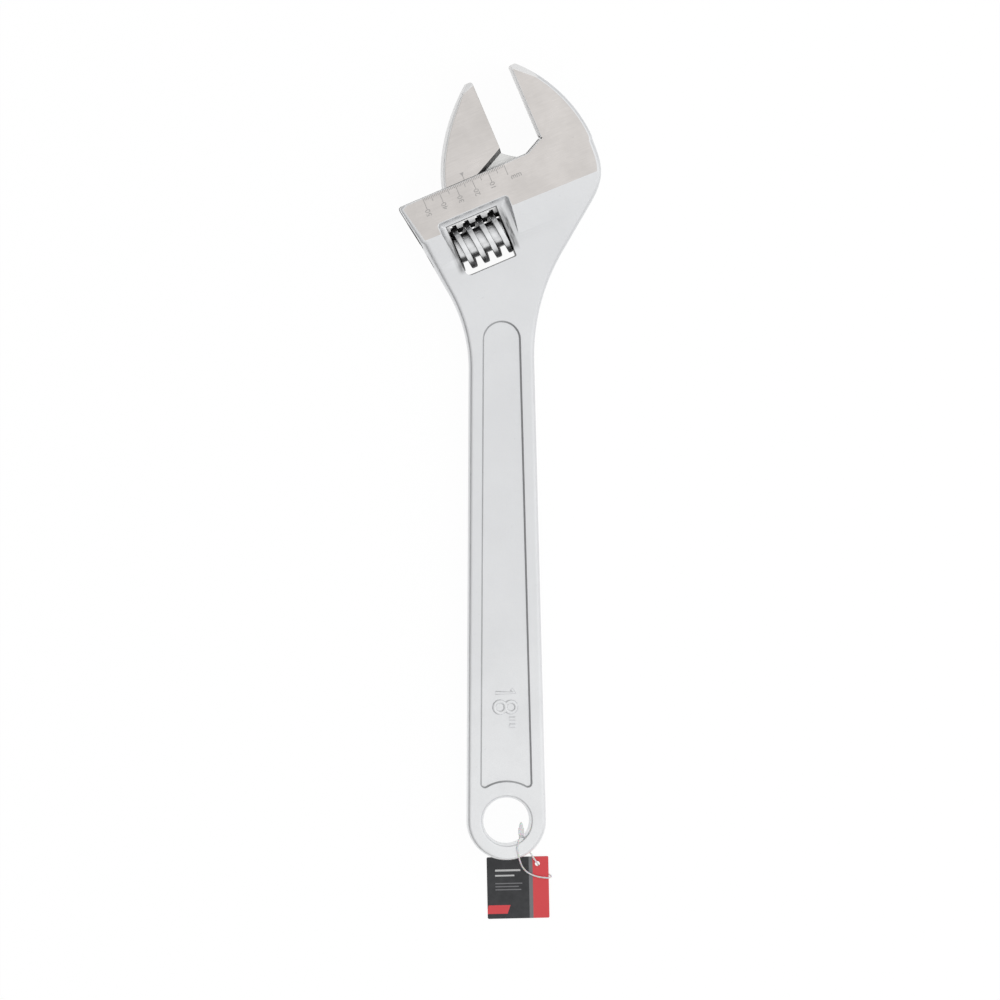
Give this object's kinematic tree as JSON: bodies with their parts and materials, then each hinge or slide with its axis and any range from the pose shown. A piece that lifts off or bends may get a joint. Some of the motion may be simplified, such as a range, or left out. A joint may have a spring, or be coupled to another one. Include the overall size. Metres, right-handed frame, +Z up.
{
  "type": "adjustable wrench",
  "caption": "Long adjustable wrench with angled head, worm-driven sliding jaw, millimetre ruler on the head, recessed handle, hang hole and a hang tag.",
  "frame": {"origin": "on the resting face, the back of the head, where the handle's centre line crosses the middle of the ground band", "axes": "+Z up, out of the face with the ruler; +Y along the handle towards the jaws; the slide's axis lies 22.5 degrees from +X towards +Y"},
  "size_m": [0.112, 0.4906, 0.028],
  "materials": {
    "satin_chrome": "satin, blasted before plating",
    "ground_chrome": "fine ground, plated",
    "spring_steel": "drawn wire",
    "tag_card": "printed dark grey and red, satin",
    "nylon": "milky"
  },
  "bodies": {
    "frame": {"body": "satin_chrome", "worm_pin": "satin_chrome", "worm_spring": "spring_steel", "hang_tag": "tag_card", "tag_loop": "nylon", "loop_lock": "nylon"},
    "jaw": {"movable_jaw": "ground_chrome"},
    "knurl": {"worm": "satin_chrome"}
  },
  "joints": [
    {"name": "jaw_slide", "type": "slide", "parent": "frame", "child": "jaw", "axis": [-0.9239, -0.3827, 0], "range_m": [-0.0238, 0.029]},
    {"name": "worm_turn", "type": "hinge", "parent": "frame", "child": "knurl", "pos_m": [-0.01062, -0.03081, 0.014], "axis": [0.9239, 0.3827, 0], "range_deg": [-1129, 1375]}
  ],
  "couplings": [
    {"joint": "worm_turn", "follows": "jaw_slide", "rad_per_m": 826.73}
  ]
}
